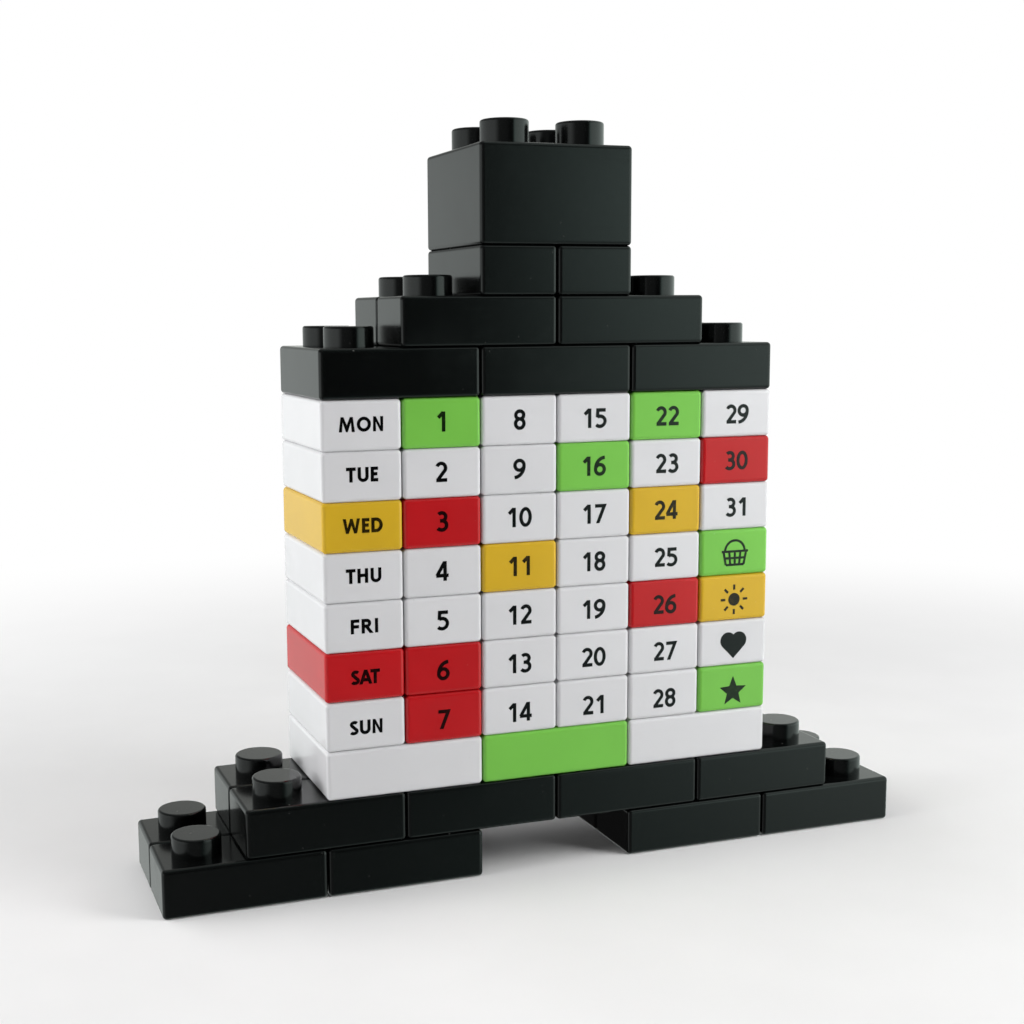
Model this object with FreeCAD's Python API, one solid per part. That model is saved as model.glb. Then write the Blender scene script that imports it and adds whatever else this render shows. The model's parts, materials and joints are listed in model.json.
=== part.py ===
import FreeCAD, Part
import os

# A perpetual desk calendar built of interlocking hollow plastic bricks.
#
# Two feet carry a base course and a coloured plinth. On them stands a wall of seven day rows:
# one weekday brick, then the dates 1 to 31, then four event bricks. A black header and a stepped
# shoulder, neck and cap close the top. Every brick has studs above and sockets below, and every
# course is pressed onto the studs of the course under it.
#
# Frame: millimetres, +X to the reader's right, +Y to the rear, +Z up. The origin is on the
# surface that the feet stand on, under the middle of the calendar.

# Brick module
PITCH = 16.0              # stud spacing, both ways
COURSE_HEIGHT = 9.6       # height of one course, rim to top face
BRICK_GAP = 0.2           # play left between neighbouring bricks of a course
EDGE_RADIUS = 0.8         # rounding of every outer edge of a brick

# Shell
WALL = 2.0                # side walls
ROOF = 2.0                # top wall
STUD_SKIN = 1.4           # wall round the hollow under each stud
STUD_HOLLOW_RISE = 1.4    # how far that hollow rises past the top face; the stud above it is solid

# Studs
STUD_DIAMETER = 9.6
STUD_HEIGHT = 4.0
CAP_STUD_HEIGHT = 4.9     # the cap's studs stand a little taller
STUD_EDGE_RADIUS = 0.5

# Grips inside a brick, which hold the studs of the course below
CLUTCH_CLEARANCE = 0.1    # between a stud and what grips it
RIB_WIDTH = 1.2
TUBE_WALL = 1.5
GRIP_RECESS = 0.3         # ribs, posts and tubes end this far above the rim

# Layout, counted in stud pitches across and along, and in courses up
WALL_COLUMNS = 6
WALL_ROWS = 2
BASE_STEP = 1             # the base passes the wall by this much at each end
FOOT_STEP = 1             # a foot passes the base by this much
FOOT_COLUMNS = 4
SHOULDER_STEP = 1         # the shoulder is this much shorter than the wall at each end
NECK_STEP = 1             # and the neck than the shoulder
CAP_COURSES = 2

# Day rows, from the top of the wall down
WEEKDAYS = ("mon", "tue", "wed", "thu", "fri", "sat", "sun")
LAST_DATE = 31
EVENTS = ("shopping", "holiday", "birthday", "star")

STUD_RADIUS = STUD_DIAMETER / 2
SEAT_RADIUS = STUD_RADIUS + CLUTCH_CLEARANCE
CUT_MARGIN = 1.0          # how far a cutting tool runs past the face it opens

FEET_COURSE = 0
BASE_COURSE = FEET_COURSE + 1
PLINTH_COURSE = BASE_COURSE + 1
LOWEST_DAY_COURSE = PLINTH_COURSE + 1
HEADER_COURSE = LOWEST_DAY_COURSE + len(WEEKDAYS)
SHOULDER_COURSE = HEADER_COURSE + 1
NECK_COURSE = SHOULDER_COURSE + 1
CAP_COURSE = NECK_COURSE + 1


def fuse_all(shapes):
    """One shape out of several."""
    return shapes[0].multiFuse(shapes[1:]) if len(shapes) > 1 else shapes[0]


def stud_centres(columns, rows):
    """Where a brick's studs, and the sockets under them, stand in its own frame."""
    return [
        ((column + 0.5) * PITCH, (row + 0.5) * PITCH)
        for column in range(columns)
        for row in range(rows)
    ]


def upright_cylinder(radius, x, y, bottom, top):
    """A cylinder on the point x, y between two heights."""
    return Part.makeCylinder(radius, top - bottom, FreeCAD.Vector(x, y, bottom))


def rounded_block(columns, rows, height):
    """The brick's outside without studs, rounded on all its edges."""
    block = Part.makeBox(
        columns * PITCH - BRICK_GAP,
        rows * PITCH - BRICK_GAP,
        height,
        FreeCAD.Vector(BRICK_GAP / 2, BRICK_GAP / 2, 0),
    )
    return block.makeFillet(EDGE_RADIUS, block.Edges)


def cavity(columns, rows, height):
    """The space inside the walls and under the roof."""
    inset = BRICK_GAP / 2 + WALL
    return Part.makeBox(
        columns * PITCH - 2 * inset,
        rows * PITCH - 2 * inset,
        height - ROOF + CUT_MARGIN,
        FreeCAD.Vector(inset, inset, -CUT_MARGIN),
    )


def stud(x, y, bottom, stud_height):
    """One stud with a rounded rim, rooted in the middle of the roof."""
    top = bottom + stud_height
    body = upright_cylinder(STUD_RADIUS, x, y, bottom - ROOF / 2, top)
    rim = [edge for edge in body.Edges if edge.BoundBox.ZMin > bottom]
    return body.makeFillet(STUD_EDGE_RADIUS, rim)


def grip_ribs(columns, rows, height):
    """Upright ribs on the side walls, two or three to a socket."""
    bottom = GRIP_RECESS
    tall = height - ROOF / 2 - bottom
    long = PITCH / 2 - BRICK_GAP / 2 - WALL / 2 - STUD_RADIUS
    ribs = []
    for column in range(columns):
        x = (column + 0.5) * PITCH
        front = BRICK_GAP / 2 + WALL / 2
        rear = rows * PITCH - front - long
        for y in (front, rear):
            ribs.append(Part.makeBox(RIB_WIDTH, long, tall, FreeCAD.Vector(x - RIB_WIDTH / 2, y, bottom)))
    for row in range(rows):
        y = (row + 0.5) * PITCH
        left = BRICK_GAP / 2 + WALL / 2
        right = columns * PITCH - left - long
        for x in (left, right):
            ribs.append(Part.makeBox(long, RIB_WIDTH, tall, FreeCAD.Vector(x, y - RIB_WIDTH / 2, bottom)))
    return ribs


def grip_posts(columns, rows, height):
    """Solid posts between the sockets of a brick that is one pitch wide."""
    radius = PITCH / 2 - STUD_RADIUS
    between_columns = [(column * PITCH, PITCH / 2) for column in range(1, columns)]
    between_rows = [(PITCH / 2, row * PITCH) for row in range(1, rows)]
    return [
        upright_cylinder(radius, x, y, GRIP_RECESS, height - ROOF / 2)
        for x, y in between_columns + between_rows
    ]


def grip_tubes(columns, rows, height):
    """Tubes where four sockets meet, each as wide as the studs round it allow."""
    radius = PITCH / 2**0.5 - STUD_RADIUS
    tubes = []
    for column in range(1, columns):
        for row in range(1, rows):
            x, y = column * PITCH, row * PITCH
            tube = upright_cylinder(radius, x, y, GRIP_RECESS, height - ROOF / 2)
            bore = upright_cylinder(radius - TUBE_WALL, x, y, -CUT_MARGIN, height - ROOF)
            tubes.append(tube.cut(bore))
    return tubes


def brick(columns, rows, height=COURSE_HEIGHT, stud_height=STUD_HEIGHT):
    """A hollow brick with its left front lower corner cell at the origin."""
    middle_grips = grip_posts if min(columns, rows) == 1 else grip_tubes
    grips = grip_ribs(columns, rows, height) + middle_grips(columns, rows, height)
    centres = stud_centres(columns, rows)
    seats = [
        upright_cylinder(SEAT_RADIUS, x, y, -CUT_MARGIN, height - ROOF)
        for x, y in centres
    ]
    stud_hollows = [
        upright_cylinder(STUD_RADIUS - STUD_SKIN, x, y, 0, height + STUD_HOLLOW_RISE)
        for x, y in centres
    ]
    studs = [stud(x, y, height, stud_height) for x, y in centres]
    shell = rounded_block(columns, rows, height).cut(cavity(columns, rows, height))
    moulding = fuse_all([shell] + grips + studs)
    return moulding.cut(fuse_all(seats)).cut(fuse_all(stud_hollows)).removeSplitter()


DAY_BRICK = brick(1, 2)
SQUARE_BRICK = brick(2, 2)
BEAM_BRICK = brick(2, 1)
CAP_BRICK = brick(2, 2, CAP_COURSES * COURSE_HEIGHT, CAP_STUD_HEIGHT)


def placed(shape, column, row, course):
    """A copy of a brick with its corner cell at this column of the wall, row and course."""
    copy = shape.copy()
    copy.translate(
        FreeCAD.Vector(
            (column - WALL_COLUMNS / 2) * PITCH,
            (row - WALL_ROWS / 2) * PITCH,
            course * COURSE_HEIGHT,
        )
    )
    return copy


def write_node(name, solids):
    """One STEP file with all solids of a node."""
    Part.makeCompound(solids).exportStep(f"parts/{name}.step")


def write_beams(prefix, first_column, last_column, course):
    """A front node and a rear node of beam bricks laid end to end."""
    for row, side in enumerate(("front", "rear")):
        beams = [
            placed(BEAM_BRICK, column, row, course)
            for column in range(first_column, last_column, 2)
        ]
        write_node(f"{prefix}_{side}_bricks", beams)


def write_squares(prefix, course):
    """Three square bricks side by side, as wide as the wall."""
    for index, side in enumerate(("left", "middle", "right")):
        write_node(f"{prefix}_{side}", [placed(SQUARE_BRICK, 2 * index, 0, course)])


def day_name(day):
    """The name of a day's brick: first the dates, then the events, then spare bricks."""
    if day <= LAST_DATE:
        return f"date_{day:02d}"
    past = day - LAST_DATE
    return f"event_{EVENTS[past - 1]}" if past <= len(EVENTS) else f"spare_{past - len(EVENTS)}"


def write_day_rows():
    """Weekday, date and event bricks, one node each."""
    for index, weekday in enumerate(WEEKDAYS):
        course = HEADER_COURSE - 1 - index
        write_node(f"weekday_{weekday}", [placed(DAY_BRICK, 0, 0, course)])
        for column in range(1, WALL_COLUMNS):
            day = len(WEEKDAYS) * (column - 1) + index + 1
            write_node(day_name(day), [placed(DAY_BRICK, column, 0, course)])


def write_feet():
    """Two feet with an open gap between them."""
    outer = BASE_STEP + FOOT_STEP
    write_beams("left_foot", -outer, FOOT_COLUMNS - outer, FEET_COURSE)
    write_beams("right_foot", WALL_COLUMNS + outer - FOOT_COLUMNS, WALL_COLUMNS + outer, FEET_COURSE)


def write_crown():
    """The stepped black top: shoulder, neck and cap."""
    write_beams("shoulder", SHOULDER_STEP, WALL_COLUMNS - SHOULDER_STEP, SHOULDER_COURSE)
    neck_left = SHOULDER_STEP + NECK_STEP
    neck_right = WALL_COLUMNS - neck_left - 1
    write_node("neck_left", [placed(DAY_BRICK, neck_left, 0, NECK_COURSE)])
    write_node("neck_right", [placed(DAY_BRICK, neck_right, 0, NECK_COURSE)])
    write_node("cap_block", [placed(CAP_BRICK, neck_left, 0, CAP_COURSE)])


os.makedirs("parts", exist_ok=True)
write_feet()
write_beams("base", -BASE_STEP, WALL_COLUMNS + BASE_STEP, BASE_COURSE)
write_squares("plinth", PLINTH_COURSE)
write_day_rows()
write_squares("header", HEADER_COURSE)
write_crown()
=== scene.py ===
import json
import math
import random

import bpy
from mathutils import Matrix, Vector
from mathutils.geometry import convex_hull_2d, delaunay_2d_cdt


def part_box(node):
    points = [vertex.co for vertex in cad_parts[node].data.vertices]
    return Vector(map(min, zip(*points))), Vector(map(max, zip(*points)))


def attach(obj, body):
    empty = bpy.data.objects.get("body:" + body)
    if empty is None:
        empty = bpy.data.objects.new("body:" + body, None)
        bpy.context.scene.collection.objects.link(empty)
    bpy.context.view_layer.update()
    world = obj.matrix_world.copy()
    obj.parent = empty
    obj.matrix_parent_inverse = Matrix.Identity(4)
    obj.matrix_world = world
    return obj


# Looks of the brick-built perpetual desk calendar. The bricks are the CAD's own and get moulded
# plastics here. The prints on their front faces are thin solids of ink. Dates and words are drawn
# from straight runs and arcs, with a pen of even width. Lengths are in metres.

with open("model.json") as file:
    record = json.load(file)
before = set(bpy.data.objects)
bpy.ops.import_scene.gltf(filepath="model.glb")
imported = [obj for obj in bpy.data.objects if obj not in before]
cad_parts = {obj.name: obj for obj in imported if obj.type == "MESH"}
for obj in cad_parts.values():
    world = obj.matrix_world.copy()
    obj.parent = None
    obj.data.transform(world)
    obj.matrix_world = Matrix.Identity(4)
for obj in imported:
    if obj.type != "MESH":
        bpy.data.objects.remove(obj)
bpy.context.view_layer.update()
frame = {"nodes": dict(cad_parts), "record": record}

MM = 0.001
BODIES = frame["record"]["behaviour"]["bodies"]
BODY_OF = {node: body for body, nodes in BODIES.items() for node in nodes}

WEEKDAYS = ("mon", "tue", "wed", "thu", "fri", "sat", "sun")
LAST_DATE = 31
COURSE_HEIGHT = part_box("weekday_sat")[0].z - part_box("weekday_sun")[0].z
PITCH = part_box("date_01")[0].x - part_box("weekday_mon")[0].x
wall_low, wall_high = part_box("weekday_mon")

# Ink
INK_PROUD = 0.03 * MM     # stands this far in front of the brick
INK_ROOT = 0.05 * MM      # and reaches this far into it
DIGIT_HEIGHT = 3.84 * MM
LETTER_HEIGHT = 2.82 * MM
DIGIT_PEN = 0.71 * MM
LETTER_PEN = 0.645 * MM
SYMBOL_PEN = 0.50 * MM
PRINT_SIDE = -0.03 * MM   # dates and symbols sit this far to the right of their brick's middle
MIDDLE_COLUMN = 3         # in this column,
COLUMN_DRIFT = 0.08 * MM  # and by this further right in each column after it; words sit in the middle
PRINT_RAISE = 0.38 * MM   # all prints sit at most this far over their brick's middle,
HIGHEST_ROW = 1.5         # in the first column between the second and the third row,
ROW_SAG = 0.036 * MM      # less by this times the square of the rows up or down from there,
COLUMN_DROP = 0.10 * MM   # and by this in each column after the first
PRINT_PLAY = 0.06 * MM    # a print may be off its place by this, either way
random.seed(31)


# ---------------------------------------------------------------- node helpers

def add_node(tree, kind, links=None, **settings):
    """A shader node with its settings, its inputs set to numbers or linked from sockets."""
    made = tree.nodes.new(kind)
    for name, value in settings.items():
        setattr(made, name, value)
    for name, value in (links or {}).items():
        if isinstance(value, bpy.types.NodeSocket):
            tree.links.new(value, made.inputs[name])
        else:
            made.inputs[name].default_value = value
    return made


def math_node(tree, operation, a, b):
    """The result socket of one sum."""
    return add_node(tree, "ShaderNodeMath", {0: a, 1: b}, operation=operation).outputs[0]


def between(tree, value, low, high, out_low=0.0, out_high=1.0):
    """value taken smoothly from low..high to out_low..out_high."""
    links = {"Value": value, "From Min": low, "From Max": high, "To Min": out_low, "To Max": out_high}
    return add_node(tree, "ShaderNodeMapRange", links, interpolation_type="SMOOTHSTEP").outputs["Result"]


def between_straight(tree, value, low, high):
    """value taken in proportion from low..high to 0..1."""
    links = {"Value": value, "From Min": low, "From Max": high}
    return add_node(tree, "ShaderNodeMapRange", links).outputs["Result"]


def noise(tree, place, scale, detail=2.0, roughness=0.5):
    """The value of a noise with this many features a metre."""
    links = {"Vector": place, "Scale": scale, "Detail": detail, "Roughness": roughness}
    return add_node(tree, "ShaderNodeTexNoise", links).outputs["Fac"]


def blended(tree, amount, a, b):
    """Two numbers mixed."""
    return add_node(tree, "ShaderNodeMix", {0: amount, 2: a, 3: b}, data_type="FLOAT").outputs[0]


def mixed(tree, amount, a, b, blend_type="MIX"):
    """Two colours mixed."""
    made = add_node(tree, "ShaderNodeMix", {0: amount}, data_type="RGBA", blend_type=blend_type)
    for socket, value in ((made.inputs[6], a), (made.inputs[7], b)):
        if isinstance(value, bpy.types.NodeSocket):
            tree.links.new(value, socket)
        else:
            socket.default_value = value
    return made.outputs[2]


def grey(level):
    """A grey, given in the linear values that Blender takes."""
    return (level, level, level, 1.0)


def linear(red, green, blue):
    """A colour given as it shows on screen, 0 to 255, in the linear values that Blender takes."""
    def one(channel):
        share = channel / 255
        return share / 12.92 if share <= 0.04045 else ((share + 0.055) / 1.055) ** 2.4
    return (one(red), one(green), one(blue), 1.0)


def new_material(name):
    """A material with an empty node tree, and its output node."""
    material = bpy.data.materials.new(name)
    material.use_nodes = True
    material.node_tree.nodes.clear()
    return material, material.node_tree, material.node_tree.nodes.new("ShaderNodeOutputMaterial")


# ---------------------------------------------------------------- plastics

# Features a metre
CLOUD_SCALE = 55          # slow clouds of pigment
SMUDGE_SCALE = 93.5       # finger marks
PEEL_SCALE = 260          # waviness of the moulded face
GRAIN_SCALE = 3200        # fine grain of the mould's polish
DUST_SCALE = 420          # cells that may hold a speck of dust
SCRATCH_SCALE = 90        # along a scratch,
SCRATCH_STRETCH = 40      # and this many times more across it
INK_PATCH_SCALE = 900
INK_GRAIN_SCALE = 2500

# Height of the relief
PEEL_DEPTH = 0.003 * MM
GRAIN_DEPTH = 0.0015 * MM
SCRATCH_DEPTH = 0.0006 * MM

# The values of a noise at which a mark starts and is full
NOISE_SPREAD = (0.3, 0.7)       # nearly all values of a noise lie between these
SMUDGE_VALUES = (0.5, 0.75)
SCRATCH_VALUES = (0.70, 0.76)
INK_PATCH_VALUES = (0.3, 0.75)

SCRATCH_WAYS = (0.5, 2.1)       # the two ways that scratches run, as angles in radians,
SCRATCH_TILT = (0.7, 1.0, 1.3)  # turned about each axis by this share of the angle
SPECK_EDGE = (0.05, 0.09)       # a speck of dust fades out between these shares of its cell
EMPTY_CELLS = 0.72              # share of the cells that hold no speck
UPRIGHT_DUST = 0.14             # dust on an upright face, as a share of that on a level one
LEVEL_NORMAL = 0.9              # a face counts as level where its normal rises by this

# Roughness of the clean plastic, and what each mark adds to it
POLISH = 0.16
SMUDGE_ROUGHNESS = 0.05
SCRATCH_ROUGHNESS = 0.06
DUST_ROUGHNESS = 0.5

REFRACTION = 1.5          # the index of the plastic

BLACK = linear(7, 8, 8)
WHITE = linear(213, 213, 215)
GREEN = linear(116, 188, 74)
YELLOW = linear(206, 167, 38)
RED = linear(182, 22, 28)

INK = linear(2, 2, 3)
INK_THIN = (0.015, 0.05)        # how much of what is under the ink shows through
UNDER_WHITE_INK = grey(0.05)    # what shows on white bricks, since white itself would be too pale
INK_ROUGHNESS = (0.11, 0.17)
INK_GLOSS = 0.42


def scratches(tree, place, turn):
    """1 along fine scratches that run one way, 0 between them."""
    across = SCRATCH_SCALE * SCRATCH_STRETCH
    mapping = {
        "Vector": place,
        "Rotation": tuple(turn * share for share in SCRATCH_TILT),
        "Scale": (SCRATCH_SCALE, across, across),
    }
    stretched = add_node(tree, "ShaderNodeMapping", mapping).outputs["Vector"]
    return between(tree, noise(tree, stretched, 1.0, detail=1.0), *SCRATCH_VALUES)


def pigment(tree, place, own, colour, clouding):
    """The colour of a brick, a little uneven over it and from one brick to the next."""
    clouds = noise(tree, place, CLOUD_SCALE, detail=4.0)
    tone = math_node(tree, "ADD", between(tree, clouds, *NOISE_SPREAD, -clouding, clouding), 1.0)
    batch = between(tree, own, 0.0, 1.0, 1 - clouding / 2, 1 + clouding / 2)
    tone = math_node(tree, "MULTIPLY", tone, batch)
    shade = add_node(tree, "ShaderNodeCombineColor", {0: tone, 1: tone, 2: tone}).outputs[0]
    return mixed(tree, 1.0, colour, shade, blend_type="MULTIPLY")


def dust_specks(tree, place, dust):
    """How much dust covers a spot: none between the specks, and less on upright faces."""
    specks = add_node(tree, "ShaderNodeTexVoronoi", {"Vector": place, "Scale": DUST_SCALE})
    near = between(tree, specks.outputs["Distance"], *SPECK_EDGE, 1.0, 0.0)
    chance = add_node(tree, "ShaderNodeSeparateColor", {0: specks.outputs["Color"]}).outputs[0]
    kept = math_node(tree, "GREATER_THAN", chance, EMPTY_CELLS)
    normal = add_node(tree, "ShaderNodeNewGeometry").outputs["Normal"]
    up = add_node(tree, "ShaderNodeSeparateXYZ", {0: normal}).outputs["Z"]
    settle = between(tree, up, 0.0, LEVEL_NORMAL, UPRIGHT_DUST, 1.0)
    speck = math_node(tree, "MULTIPLY", math_node(tree, "MULTIPLY", near, kept), settle)
    return math_node(tree, "MULTIPLY", speck, dust)


def relief(tree, place, lines):
    """The normal of a moulded face: wavy, with a fine grain, and scored by the scratches."""
    peel = add_node(tree, "ShaderNodeBump", {
        "Height": noise(tree, place, PEEL_SCALE, detail=1.0),
        "Strength": 1.0,
        "Distance": PEEL_DEPTH,
    })
    grain = add_node(tree, "ShaderNodeBump", {
        "Height": noise(tree, place, GRAIN_SCALE, detail=2.0),
        "Strength": 1.0,
        "Distance": GRAIN_DEPTH,
        "Normal": peel.outputs["Normal"],
    })
    scored = add_node(tree, "ShaderNodeBump", {
        "Height": lines,
        "Strength": 1.0,
        "Distance": SCRATCH_DEPTH,
        "Normal": grain.outputs["Normal"],
    }, invert=True)
    return scored.outputs["Normal"]


def moulded_plastic(name, colour, dust_colour, clouding=0.05, dust=0.5):
    """Glossy moulded plastic: pigment clouds, a wavy face, fine scratches, smudges and dust."""
    material, tree, output = new_material(name)
    own = add_node(tree, "ShaderNodeObjectInfo").outputs["Random"]
    place = add_node(tree, "ShaderNodeTexCoord").outputs["Object"]
    shift = add_node(tree, "ShaderNodeCombineXYZ", {0: own, 1: own, 2: own}).outputs[0]
    place = add_node(tree, "ShaderNodeVectorMath", {0: place, 1: shift}, operation="ADD").outputs[0]

    lines = math_node(tree, "MAXIMUM", *(scratches(tree, place, turn) for turn in SCRATCH_WAYS))
    smudges = noise(tree, place, SMUDGE_SCALE, detail=3.0, roughness=0.6)
    smudge = between(tree, smudges, *SMUDGE_VALUES)
    speck = dust_specks(tree, place, dust)
    finish = POLISH
    for mark, added in ((smudge, SMUDGE_ROUGHNESS), (lines, SCRATCH_ROUGHNESS), (speck, DUST_ROUGHNESS)):
        finish = math_node(tree, "ADD", finish, math_node(tree, "MULTIPLY", mark, added))

    shader = add_node(tree, "ShaderNodeBsdfPrincipled", {
        "Base Color": mixed(tree, speck, pigment(tree, place, own, colour, clouding), dust_colour),
        "Roughness": finish,
        "IOR": REFRACTION,
        "Normal": relief(tree, place, lines),
    })
    tree.links.new(shader.outputs[0], output.inputs["Surface"])
    return material


def ink_material(name, under):
    """Thin pad-printed ink: nearly black, a little uneven, with a breath of what is under it."""
    material, tree, output = new_material(name)
    place = add_node(tree, "ShaderNodeTexCoord").outputs["Object"]
    patches = noise(tree, place, INK_PATCH_SCALE, detail=3.0)
    thin = between(tree, patches, *INK_PATCH_VALUES, *INK_THIN)
    grain = noise(tree, place, INK_GRAIN_SCALE, detail=2.0)
    shader = add_node(tree, "ShaderNodeBsdfPrincipled", {
        "Base Color": mixed(tree, thin, INK, under),
        "Roughness": between(tree, grain, *NOISE_SPREAD, *INK_ROUGHNESS),
        "Specular IOR Level": INK_GLOSS,
    })
    tree.links.new(shader.outputs[0], output.inputs["Surface"])
    return material


PLASTICS = {
    "black_plastic": moulded_plastic("black_plastic", BLACK, linear(120, 120, 116), dust=0.6),
    "white_plastic": moulded_plastic("white_plastic", WHITE, linear(170, 168, 160), clouding=0.015),
    "green_plastic": moulded_plastic("green_plastic", GREEN, linear(200, 205, 190), clouding=0.03),
    "yellow_plastic": moulded_plastic("yellow_plastic", YELLOW, linear(215, 205, 170), clouding=0.03),
    "red_plastic": moulded_plastic("red_plastic", RED, linear(200, 150, 145), clouding=0.04),
}
INKS = {
    "white_plastic": ink_material("ink_on_white", UNDER_WHITE_INK),
    "green_plastic": ink_material("ink_on_green", GREEN),
    "yellow_plastic": ink_material("ink_on_yellow", YELLOW),
    "red_plastic": ink_material("ink_on_red", RED),
}

SLOT_OF = {part["node"]: part["material_slot"] for part in frame["record"]["subparts"]}
for node, brick in frame["nodes"].items():
    for held in brick.material_slots:
        held.material = PLASTICS[SLOT_OF[node]]


# ---------------------------------------------------------------- pen strokes
# A glyph is drawn in its own units: the baseline is 0, the cap line is 1, and x runs from 0 to the
# glyph's width. Runs that end on one of those lines are lengthened and then cut off along it.
# In the functions, pen and half_pen are half the pen's width.

ARC_STEP = math.radians(9)
STEEP_JOINT = 3.2         # a joint's point reaches at most this many half pens from the centre line
JOIN_TOLERANCE = 1e-7     # corners nearer than this are one
ALL_TRIANGLES = 0         # asks the triangulation for those outside the polygons too
RUN_PAST = 3              # half pens that a run is lengthened by before it is cut
OVERSHOOT = 0.025         # round digits pass both lines by this
LOW_BOWL = 0.54           # share of a digit's height in the lower bowl of a 3 or an 8


def arc(x, y, across, up, start, end):
    """Points of an elliptic arc round x, y from one angle to another, in degrees anticlockwise."""
    turn = math.radians(end - start)
    count = max(2, math.ceil(abs(turn) / ARC_STEP))
    angles = [math.radians(start) + turn * step / count for step in range(count + 1)]
    return [(x + across * math.cos(angle), y + up * math.sin(angle)) for angle in angles]


def loop(x, y, across, up):
    """Points of a whole ellipse, the last on the first."""
    return arc(x, y, across, up, 0, 360)


def lengthened(points, half_pen):
    """The run, with its ends on the baseline or the cap line carried on past it."""
    spots = [Vector(point) for point in points]
    for end, inner in ((0, 1), (-1, -2)):
        if spots[end].y in (0.0, 1.0):
            spots[end] = spots[end] + (spots[end] - spots[inner]).normalized() * RUN_PAST * half_pen
    return spots


def ribbon(points, half_pen):
    """The four-cornered pieces that a pen covers along a run, mitred at its joints."""
    spots = [Vector(point) for point in points]
    closed = (spots[0] - spots[-1]).length < JOIN_TOLERANCE
    headings = [(b - a).normalized() for a, b in zip(spots, spots[1:])]
    sides = []
    for index, spot in enumerate(spots):
        before = headings[index - 1] if index > 0 or closed else headings[0]
        after = headings[index] if index < len(headings) else (headings[0] if closed else headings[-1])
        middle = (before + after).normalized()
        across = Vector((-middle.y, middle.x))
        lean = max(middle.dot(after), 1 / STEEP_JOINT)
        sides.append((spot + across * half_pen / lean, spot - across * half_pen / lean))
    return [(a[0], b[0], b[1], a[1]) for a, b in zip(sides, sides[1:])]


def cut_to_band(polygon, low=0.0, high=1.0):
    """A convex polygon without what lies under the baseline or over the cap line."""
    for sign, limit in ((1, low), (-1, -high)):
        kept = []
        for a, b in zip(polygon, polygon[1:] + polygon[:1]):
            depth_a, depth_b = sign * a[1] - limit, sign * b[1] - limit
            if depth_a >= 0:
                kept.append(a)
            if (depth_a < 0) != (depth_b < 0):
                share = depth_a / (depth_a - depth_b)
                kept.append((a[0] + (b[0] - a[0]) * share, a[1] + (b[1] - a[1]) * share))
        polygon = kept
    return polygon


def inked(strokes, half_pen, lines=True):
    """The convex pieces that strokes cover, cut along the baseline and cap line if lines is set."""
    pieces = []
    for stroke in strokes:
        on_line = lines and (stroke[0][1] in (0, 1) or stroke[-1][1] in (0, 1))
        run = lengthened(stroke, half_pen) if on_line else stroke
        quads = [[tuple(corner) for corner in quad] for quad in ribbon(run, half_pen)]
        pieces += [cut_to_band(quad) for quad in quads] if on_line else quads
    return [piece for piece in pieces if len(piece) > 2]


def digit_strokes(pen):
    """Centre lines and widths of the ten digits."""
    top = 1 - pen
    round_top = top + OVERSHOOT
    round_foot = pen - OVERSHOOT
    low_bowl = (round_top - round_foot) * LOW_BOWL / 2
    high_bowl = (round_top - round_foot) * (1 - LOW_BOWL) / 2
    low_middle = round_foot + low_bowl
    high_middle = round_top - high_bowl
    six = [
        loop(0.34, 0.315, 0.34 - pen, 0.315 - round_foot),
        arc(0.64, 0.34, 0.64 - pen, round_top - 0.34, 180, 93),
    ]
    return {
        "0": ([loop(0.345, 0.5, 0.345 - pen, 0.5 - pen + OVERSHOOT / 2)], 0.69),
        "1": ([[(0.34, 0), (0.34, 1)], [(0.06, 0.70), (0.32, 0.95)]], 0.43),
        "2": ([
            arc(0.285, round_top - 0.235, 0.23, 0.235, 158, -28) + [(0.09, pen)],
            [(0.02, pen), (0.60, pen)],
        ], 0.60),
        "3": ([
            arc(0.25, high_middle, 0.215, high_bowl, 140, -90),
            arc(0.25, low_middle, 0.255, low_bowl, 90, -145),
            [(0.16, high_middle - high_bowl), (0.26, high_middle - high_bowl)],
        ], 0.575),
        "4": ([[(0.47, 0), (0.47, 1)], [(0.47, 1), (0.04, 0.27)], [(0.0, 0.27), (0.66, 0.27)]], 0.66),
        "5": ([
            [(0.57, top), (0.125, top), (0.105, 0.53)],
            arc(0.25, 0.33, 0.285, 0.33 - round_foot, 122, -138),
        ], 0.60),
        "6": (six, 0.68),
        "7": ([[(0.0, top), (0.53, top), (0.16, 0)]], 0.59),
        "8": ([
            loop(0.32, high_middle, 0.215, high_bowl),
            loop(0.32, low_middle, 0.32 - pen, low_bowl),
        ], 0.64),
        "9": ([[(0.68 - x, 1 - y) for x, y in stroke] for stroke in six], 0.68),
    }


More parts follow.
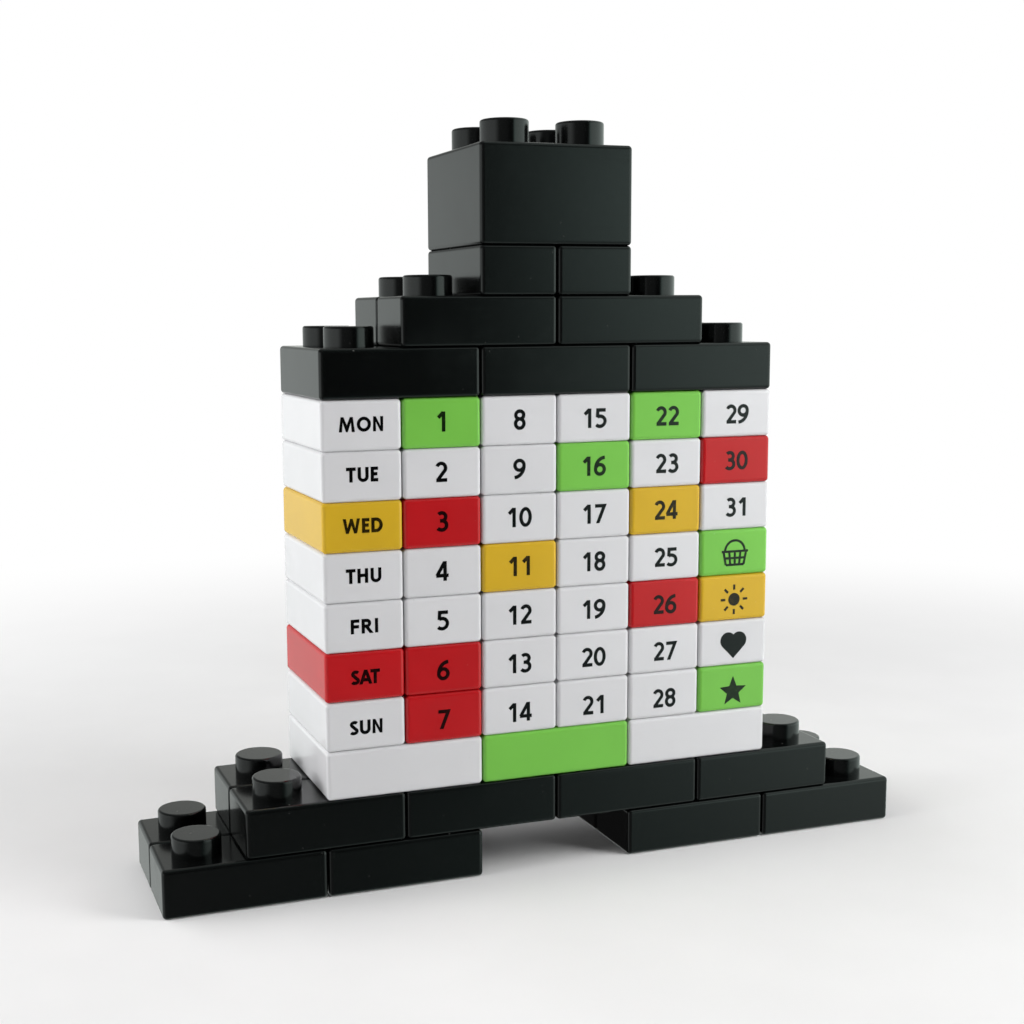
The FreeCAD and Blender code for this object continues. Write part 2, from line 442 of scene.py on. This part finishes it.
def letter_strokes(pen):
    """Centre lines and widths of the letters in the weekdays."""
    top = 1 - pen
    bowl = 0.69
    waist = 2 * bowl - top
    return {
        "A": ([[(0.07, 0), (0.415, 1), (0.76, 0)], [(0.18, 0.30), (0.65, 0.30)]], 0.83),
        "D": ([
            [(0.34, top), (pen, top), (pen, pen), (0.34, pen)],
            arc(0.34, 0.5, 0.80 - pen - 0.34, 0.5 - pen, 90, -90),
        ], 0.80),
        "E": ([[(0.52, top), (pen, top), (pen, pen), (0.52, pen)], [(pen, 0.52), (0.47, 0.52)]], 0.52),
        "F": ([[(0.61, top), (pen, top), (pen, 0)], [(pen, 0.50), (0.58, 0.50)]], 0.61),
        "H": ([
            [(pen, 0), (pen, 1)],
            [(0.75 - pen, 0), (0.75 - pen, 1)],
            [(pen, 0.53), (0.75 - pen, 0.53)],
        ], 0.75),
        "I": ([[(pen, 0), (pen, 1)]], 2 * pen),
        "M": ([[(pen, 0), (0.23, 1), (0.555, 0.14), (0.88, 1), (1.11 - pen, 0)]], 1.11),
        "N": ([[(pen, 0), (pen, 1), (0.73 - pen, 0), (0.73 - pen, 1)]], 0.73),
        "O": ([loop(0.49, 0.5, 0.49 - pen, 0.5 - pen)], 0.98),
        "R": ([
            [(pen, 0), (pen, top), (0.36, top)],
            arc(0.36, bowl, 0.68 - pen - 0.36, top - bowl, 90, -90),
            [(0.36, waist), (pen, waist)],
            [(0.33, waist), (0.70, 0)],
        ], 0.77),
        "S": ([
            arc(0.315, 0.735, 0.205, top - 0.735, 32, 215)
            + arc(0.265, 0.275, 0.23, 0.275 - pen, 55, -148),
        ], 0.57),
        "T": ([[(0.0, top), (0.67, top)], [(0.335, 0), (0.335, 1)]], 0.67),
        "U": ([
            [(pen, 1)] + arc(0.38, 0.36, 0.38 - pen, 0.36 - pen, 180, 360) + [(0.76 - pen, 1)],
        ], 0.76),
        "W": ([[(pen, 1), (0.31, 0), (0.60, 0.92), (0.89, 0), (1.20 - pen, 1)]], 1.20),
    }


DIGIT_CELL = 0.72         # digits stand in the middle of cells of equal width,
ONE_ASIDE = 0.037         # but a 1 this far to the left in its own
LETTER_GAP = 0.13         # between two letters, where no other gap is given
PAIR_GAPS = {"RI": 0.17, "FR": 0.15, "SA": 0.04, "AT": -0.08, "HU": 0.17, "UE": 0.14}


def shifted(pieces, right, up, scale):
    """Polygons moved and then scaled."""
    return [[((x + right) * scale, (y + up) * scale) for x, y in piece] for piece in pieces]


def number_print(text):
    """The pieces of a number, centred on 0, 0, in metres."""
    pen = DIGIT_PEN / DIGIT_HEIGHT / 2
    glyphs = digit_strokes(pen)
    lefts = []
    for index, character in enumerate(text):
        aside = ONE_ASIDE if character == "1" else 0.0
        lefts.append(index * DIGIT_CELL - glyphs[character][1] / 2 - aside)
    middle = (lefts[0] + lefts[-1] + glyphs[text[-1]][1]) / 2
    pieces = []
    for character, left in zip(text, lefts):
        pieces += shifted(inked(glyphs[character][0], pen), left - middle, -0.5, DIGIT_HEIGHT)
    return pieces


def word_print(text):
    """The pieces of a short word, centred on 0, 0, in metres."""
    pen = LETTER_PEN / LETTER_HEIGHT / 2
    glyphs = letter_strokes(pen)
    gaps = [PAIR_GAPS.get(pair, LETTER_GAP) for pair in map("".join, zip(text, text[1:]))] + [0.0]
    left = -(sum(glyphs[character][1] for character in text) + sum(gaps)) / 2
    pieces = []
    for character, gap in zip(text, gaps):
        strokes, width = glyphs[character]
        pieces += shifted(inked(strokes, pen), left, -0.5, LETTER_HEIGHT)
        left += width + gap
    return pieces


# ---------------------------------------------------------------- plain symbols, in millimetres

def star_print(points=5, outer=3.3, inner=1.45):
    """A filled star, one kite for each point."""
    def spoke(reach, index):
        angle = math.pi / 2 + index * math.pi / points
        return (reach * math.cos(angle), reach * math.sin(angle))
    return [
        [(0.0, 0.0), spoke(inner, 2 * index - 1), spoke(outer, 2 * index), spoke(inner, 2 * index + 1)]
        for index in range(points)
    ]


def heart_print(side=3.6, drop=0.25):
    """A filled heart: a square on its corner and a disc on each of its upper sides."""
    corner = side / math.sqrt(2)
    middle = corner / 2
    square = [(0.0, -corner), (corner, 0.0), (0.0, corner), (-corner, 0.0)]
    discs = [loop(across, middle, side / 2, side / 2)[:-1] for across in (-middle, middle)]
    return shifted([square] + discs, 0.0, -drop, 1.0)


def sun_print(rays=8, disc=1.35, inner=2.05, outer=3.15):
    """A filled disc with short rays."""
    pen = SYMBOL_PEN / MM / 2
    pieces = [loop(0, 0, disc, disc)[:-1]]
    for index in range(rays):
        angle = 2 * math.pi * index / rays
        ray = [(reach * math.cos(angle), reach * math.sin(angle)) for reach in (inner, outer)]
        pieces += inked([ray], pen, lines=False)
    return pieces


def basket_print(top=0.3, bottom=-2.5, handle=2.3, rim=3.1, mouth=2.65, belt=2.415, foot=2.1, slats=4):
    """A carrying basket of slats: half the widths of its handle, rim, mouth, belt and foot."""
    pen = SYMBOL_PEN / MM / 2
    middle = (top + bottom) / 2
    strokes = [
        [(-rim, top), (rim, top)],
        arc(0, top, handle, handle, 180, 0),
        [(-foot, bottom), (foot, bottom)],
        [(-belt, middle), (belt, middle)],
    ]
    for index in range(slats + 1):
        share = 2 * index / slats - 1
        strokes.append([(share * mouth, top), (share * foot, bottom)])
    return inked(strokes, pen, lines=False)


def in_metres(pieces):
    """Polygons given in millimetres."""
    return shifted(pieces, 0, 0, MM)


# ---------------------------------------------------------------- prints as thin solids

def flat_union(pieces):
    """Corners and triangles of the area that overlapping polygons cover together."""
    corners, rings = [], []
    for piece in pieces:
        rim = [piece[index] for index in convex_hull_2d(piece)]
        rings.append(list(range(len(corners), len(corners) + len(rim))))
        corners += [Vector(corner) for corner in rim]
    spots, _, faces, _, _, origins = delaunay_2d_cdt(corners, [], rings, ALL_TRIANGLES, JOIN_TOLERANCE)
    return spots, [face for face, origin in zip(faces, origins) if origin]


def print_centre(low, high):
    """Where the middle of a print stands, left to right and in height, on the brick in this box."""
    column = round((low.x - wall_low.x) / PITCH)
    row = round((wall_high.z - high.z) / COURSE_HEIGHT)
    off_x, off_z = (random.uniform(-PRINT_PLAY, PRINT_PLAY) for _ in range(2))
    side = PRINT_SIDE + COLUMN_DRIFT * (column - MIDDLE_COLUMN) if column > 0 else 0.0
    x = (low.x + high.x) / 2 + side + off_x
    z = low.z + COURSE_HEIGHT / 2 + PRINT_RAISE - COLUMN_DROP * column + off_z
    return x, z - ROW_SAG * (row - HIGHEST_ROW) ** 2


def upright_plate(spots, faces, x, z, depths):
    """Corners and faces of a plate between two depths, shaped by flat triangles round x, z."""
    used = sorted({index for face in faces for index in face})
    place = {old: new for new, old in enumerate(used)}
    corners = [(x + spots[old].x, depth, z + spots[old].y) for depth in depths for old in used]
    front = [[place[index] for index in face] for face in faces]
    back = [[index + len(used) for index in reversed(face)] for face in front]
    edges = {(face[i - 1], face[i]) for face in front for i in range(len(face))}
    rim = [(b, a, a + len(used), b + len(used)) for a, b in sorted(edges) if (b, a) not in edges]
    return corners, front + back + rim


def print_on(node, pieces):
    """A thin solid of ink on the front face of a brick, riding on the brick's body."""
    low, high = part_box(node)
    x, z = print_centre(low, high)
    corners, faces = upright_plate(*flat_union(pieces), x, z, (low.y - INK_PROUD, low.y + INK_ROOT))
    mesh = bpy.data.meshes.new(f"print_{node}")
    mesh.from_pydata(corners, [], faces)
    mesh.materials.append(INKS[SLOT_OF[node]])
    mesh.update()
    label = bpy.data.objects.new(f"print_{node}", mesh)
    bpy.context.scene.collection.objects.link(label)
    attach(label, BODY_OF[node])


for weekday in WEEKDAYS:
    print_on(f"weekday_{weekday}", word_print(weekday.upper()))
for date in range(1, LAST_DATE + 1):
    print_on(f"date_{date:02d}", number_print(str(date)))
print_on("event_shopping", in_metres(basket_print()))
print_on("event_holiday", in_metres(sun_print()))
print_on("event_birthday", in_metres(heart_print()))
print_on("event_star", in_metres(star_print()))


# ---------------------------------------------------------------- floor, world and reflections

FLOOR_SIZE = 8.0
FLOOR_DROP = 0.02 * MM    # the floor is this far under the feet
FLOOR_TONES = (grey(0.83), grey(0.85))
FLOOR_CLOUD_SCALE = 30    # features a metre
WHITE_STARTS = 0.10       # the floor turns to the white of the background from here
WHITE_ENDS = 0.42         # to here
GAP_CARD_DROP = 0.04 * MM  # just under the floor, which gloss looks through
GAP_SHADE = 0.03          # brightness of the card of painted shade under the gap
AMBIENT = 0.175           # even light from all round
STUDIO_RADIUS = 3.0

# Cards that only reflections show: directions in degrees, to the right from straight in front, and
# brightness. Each ring has its rise over the level of the desk, as a share of the way to the cards.
CARD_RINGS = (
    (-0.36, (
        (-180, 0.50), (-165, 0.60), (-75, 0.60), (-45, 0.14), (16, 0.12),
        (38, 0.48), (90, 0.70), (180, 0.50),
    )),
    (-0.18, (
        (-180, 0.62), (-150, 0.66), (-130, 0.75), (-65, 0.75), (-45, 0.14), (-8, 0.10),
        (7, 0.01), (20, 0.0), (25, 0.40), (35, 1.10), (90, 1.20), (180, 0.62),
    )),
    (0.00, (
        (-180, 0.70), (-150, 0.74), (-130, 0.90), (-65, 0.95), (-45, 0.14), (-8, 0.10),
        (7, 0.01), (21, 0.0), (25, 0.50), (34, 1.30), (90, 1.30), (150, 1.00), (172, 1.00),
        (180, 0.70),
    )),
    (0.12, (
        (-180, 0.74), (-150, 0.76), (-130, 0.90), (-65, 0.95), (-45, 0.14), (-8, 0.10),
        (7, 0.01), (21, 0.0), (28, 1.40), (90, 1.50), (150, 0.80), (180, 0.74),
    )),
    (0.34, (
        (-180, 0.28), (-150, 0.18), (-110, 0.35), (-45, 0.14), (-8, 0.10), (24, 0.06),
        (34, 0.85), (60, 1.10), (120, 1.00), (145, 0.88), (172, 0.45), (180, 0.28),
    )),
    (0.65, (
        (-180, 0.30), (-110, 0.20), (-60, 0.08), (30, 0.06), (41, 0.85), (60, 1.00),
        (120, 0.80), (180, 0.30),
    )),
)
OVERHEAD_CARD = 0.35      # brightness of the card over the object,
OVERHEAD_RISE = (0.8, 0.95)  # and the rise at which it starts and is full
CARD_TINTS = (            # by direction, as above
    (-180, (0.95, 1.0, 0.96)),
    (-165, (0.93, 1.0, 0.975)),
    (-100, (0.93, 1.0, 0.98)),
    (5, (0.93, 1.0, 0.98)),
    (20, (0.70, 1.0, 0.92)),
    (38, (0.84, 1.0, 0.94)),
    (110, (0.86, 1.0, 0.95)),
    (160, (0.97, 1.0, 0.95)),
    (180, (0.95, 1.0, 0.96)),
)

# Lamps: where each stands, its width and height, and its power in watts
LAMPS_FACE = (0.0, 0.0, 0.07)
SOFTBOXES = {
    "right_softbox": ((0.30, -0.22, 0.20), (0.20, 0.30), 1.36),
    "left_softbox": ((-0.75, 0.09, 0.35), (0.6, 0.6), 5.35),
    "rear_left_softbox": ((-0.60, 0.75, 0.40), (0.6, 0.7), 4.0),
    "overhead_softbox": ((0.05, -0.30, 1.30), (1.3, 0.9), 3.45),
}


def seen_directly(tree):
    """1 for rays from the camera, from gloss and through glass, 0 for light on diffuse surfaces."""
    ray = add_node(tree, "ShaderNodeLightPath").outputs
    seen = math_node(tree, "MAXIMUM", ray["Is Camera Ray"], ray["Is Glossy Ray"])
    return math_node(tree, "MAXIMUM", seen, ray["Is Transmission Ray"])


def flat_sheet(name, low, high, height):
    """A level rectangle between two corners, as part of the studio."""
    (left, front), (right, rear) = low, high
    corners = [(left, front), (right, front), (right, rear), (left, rear)]
    mesh = bpy.data.meshes.new(name)
    mesh.from_pydata([(x, y, height) for x, y in corners], [], [(0, 1, 2, 3)])
    sheet = bpy.data.objects.new(name, mesh)
    bpy.context.scene.collection.objects.link(sheet)
    return sheet


def make_floor():
    """A plain pale floor that takes the shadow and turns to the white of the background further out."""
    half = FLOOR_SIZE / 2
    floor = flat_sheet("floor", (-half, -half), (half, half), -FLOOR_DROP)
    material, tree, output = new_material("floor_paint")
    place = add_node(tree, "ShaderNodeTexCoord").outputs["Object"]
    away = add_node(tree, "ShaderNodeVectorMath", {0: place}, operation="LENGTH").outputs["Value"]
    fade = between(tree, away, WHITE_STARTS, WHITE_ENDS)
    white = math_node(tree, "MULTIPLY", fade, seen_directly(tree))
    clouds = between(tree, noise(tree, place, FLOOR_CLOUD_SCALE, detail=3.0), *NOISE_SPREAD)
    tint = mixed(tree, clouds, *FLOOR_TONES)
    paint = add_node(tree, "ShaderNodeBsdfDiffuse", {"Color": tint})
    glow = add_node(tree, "ShaderNodeEmission", {"Color": grey(1.0), "Strength": 1.0})
    mix = add_node(tree, "ShaderNodeMixShader", {0: white, 1: paint.outputs[0], 2: glow.outputs[0]})
    tree.links.new(mix.outputs[0], output.inputs["Surface"])
    floor.data.materials.append(material)
    floor.visible_glossy = False


def make_world():
    """An even white background, and a plain ambient light."""
    world = bpy.data.worlds.new("studio")
    bpy.context.scene.world = world
    world.use_nodes = True
    tree = world.node_tree
    tree.nodes.clear()
    strength = between(tree, seen_directly(tree), 0.0, 1.0, AMBIENT, 1.0)
    background = add_node(tree, "ShaderNodeBackground", {"Color": grey(1.0), "Strength": strength})
    output = tree.nodes.new("ShaderNodeOutputWorld")
    tree.links.new(background.outputs[0], output.inputs["Surface"])


def only_in_gloss(thing):
    """Hides an object from every ray but those of gloss."""
    for hidden in ("camera", "diffuse", "transmission", "volume_scatter", "shadow"):
        setattr(thing, f"visible_{hidden}", False)


def all_round(tree, rightward, colours):
    """A colour that goes by the direction from the object, given at some directions in degrees."""
    turn = between_straight(tree, rightward, -math.pi, math.pi)
    node = add_node(tree, "ShaderNodeValToRGB", {"Fac": turn})
    stops = node.color_ramp.elements
    for _ in colours[len(stops):]:
        stops.new(0.5)    # its place is set below
    for stop, (direction, colour) in zip(stops, colours):
        stop.position = (direction + 180) / 360
        stop.color = colour
    return node.outputs["Color"]


def ring_of_cards(tree, rightward, cards):
    """The brightness of cards that stand round the object."""
    return all_round(tree, rightward, [(direction, grey(level)) for direction, level in cards])


def make_reflection_tent():
    """Cards all round that only gloss sees: pale at the sides and behind, dark in front, dim on top."""
    bpy.ops.mesh.primitive_uv_sphere_add(segments=64, ring_count=32, radius=STUDIO_RADIUS)
    tent = bpy.context.object
    tent.name = "reflection_tent"
    material, tree, output = new_material("tent_cards")
    place = add_node(tree, "ShaderNodeTexCoord").outputs["Object"]
    spot = add_node(tree, "ShaderNodeSeparateXYZ", {0: place}).outputs
    rightward = math_node(tree, "ARCTAN2", spot["X"], math_node(tree, "MULTIPLY", spot["Y"], -1.0))
    rise = math_node(tree, "DIVIDE", spot["Z"], STUDIO_RADIUS)
    lower, level = CARD_RINGS[0][0], ring_of_cards(tree, rightward, CARD_RINGS[0][1])
    for upper, cards in CARD_RINGS[1:]:
        share = between(tree, rise, lower, upper)
        level = blended(tree, share, level, ring_of_cards(tree, rightward, cards))
        lower = upper
    level = blended(tree, between(tree, rise, *OVERHEAD_RISE), level, OVERHEAD_CARD)
    tint = all_round(tree, rightward, [(direction, colour + (1.0,)) for direction, colour in CARD_TINTS])
    glow = add_node(tree, "ShaderNodeEmission", {"Color": tint, "Strength": level})
    tree.links.new(glow.outputs[0], output.inputs["Surface"])
    tent.data.materials.append(material)
    only_in_gloss(tent)


def make_gap_card():
    """A dark card of painted shade under the gap between the feet, which only gloss sees: it stands in
    for the floor in shade there.
    """
    low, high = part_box("left_foot_rear_bricks")[1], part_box("right_foot_rear_bricks")[0]
    card = flat_sheet("gap_card", (low.x, -PITCH), (high.x, 3 * PITCH), -GAP_CARD_DROP)
    material, tree, output = new_material("gap_shade")
    # a dim glow that paints the gap's shade into reflections
    glow = add_node(tree, "ShaderNodeEmission", {"Color": grey(1.0), "Strength": GAP_SHADE})
    tree.links.new(glow.outputs[0], output.inputs["Surface"])
    card.data.materials.append(material)
    only_in_gloss(card)


def make_softbox(name, place, size, power):
    """A rectangular lamp that faces the object. Gloss shows the cards in its stead."""
    lamp = bpy.data.lights.new(name, "AREA")
    lamp.shape = "RECTANGLE"
    lamp.size, lamp.size_y = size
    lamp.energy = power
    holder = bpy.data.objects.new(name, lamp)
    bpy.context.scene.collection.objects.link(holder)
    holder.location = place
    holder.visible_glossy = False
    holder.rotation_mode = "QUATERNION"
    holder.rotation_quaternion = (Vector(LAMPS_FACE) - Vector(place)).to_track_quat("-Z", "Y")


make_floor()
make_world()
make_reflection_tent()
make_gap_card()
for lamp_name, (lamp_place, lamp_size, lamp_power) in SOFTBOXES.items():
    make_softbox(lamp_name, lamp_place, lamp_size, lamp_power)


# ---------------------------------------------------------------- camera

# Fitted to the corners of the bricks in the photo. Angles are in radians.
CAMERA_PLACE = (-118.4 * MM, -286.5 * MM, 111.7 * MM)
CAMERA_HEADING = -0.3495  # turned to the right of straight ahead
CAMERA_DIP = 0.1394       # down from level
CAMERA_ROLL = -0.0070
CAMERA_LENS = 52.89       # in millimetres, as is the sensor's width
SENSOR = 36.0
CAMERA_SHIFT = (0.0471, 0.0129)
NEAREST_SEEN = 0.01


def make_camera():
    """A camera that sees the object as the photo does."""
    data = bpy.data.cameras.new("camera")
    data.sensor_width = SENSOR
    data.lens = CAMERA_LENS
    data.shift_x, data.shift_y = CAMERA_SHIFT
    data.clip_start = NEAREST_SEEN
    camera = bpy.data.objects.new("camera", data)
    bpy.context.scene.collection.objects.link(camera)
    place = Matrix.Translation(CAMERA_PLACE)
    aim = Matrix.Rotation(CAMERA_HEADING, 4, "Z") @ Matrix.Rotation(math.pi / 2 - CAMERA_DIP, 4, "X")
    camera.matrix_world = place @ aim @ Matrix.Rotation(CAMERA_ROLL, 4, "Z")
    bpy.context.scene.camera = camera


make_camera()
bpy.context.scene.view_settings.view_transform = "Standard"
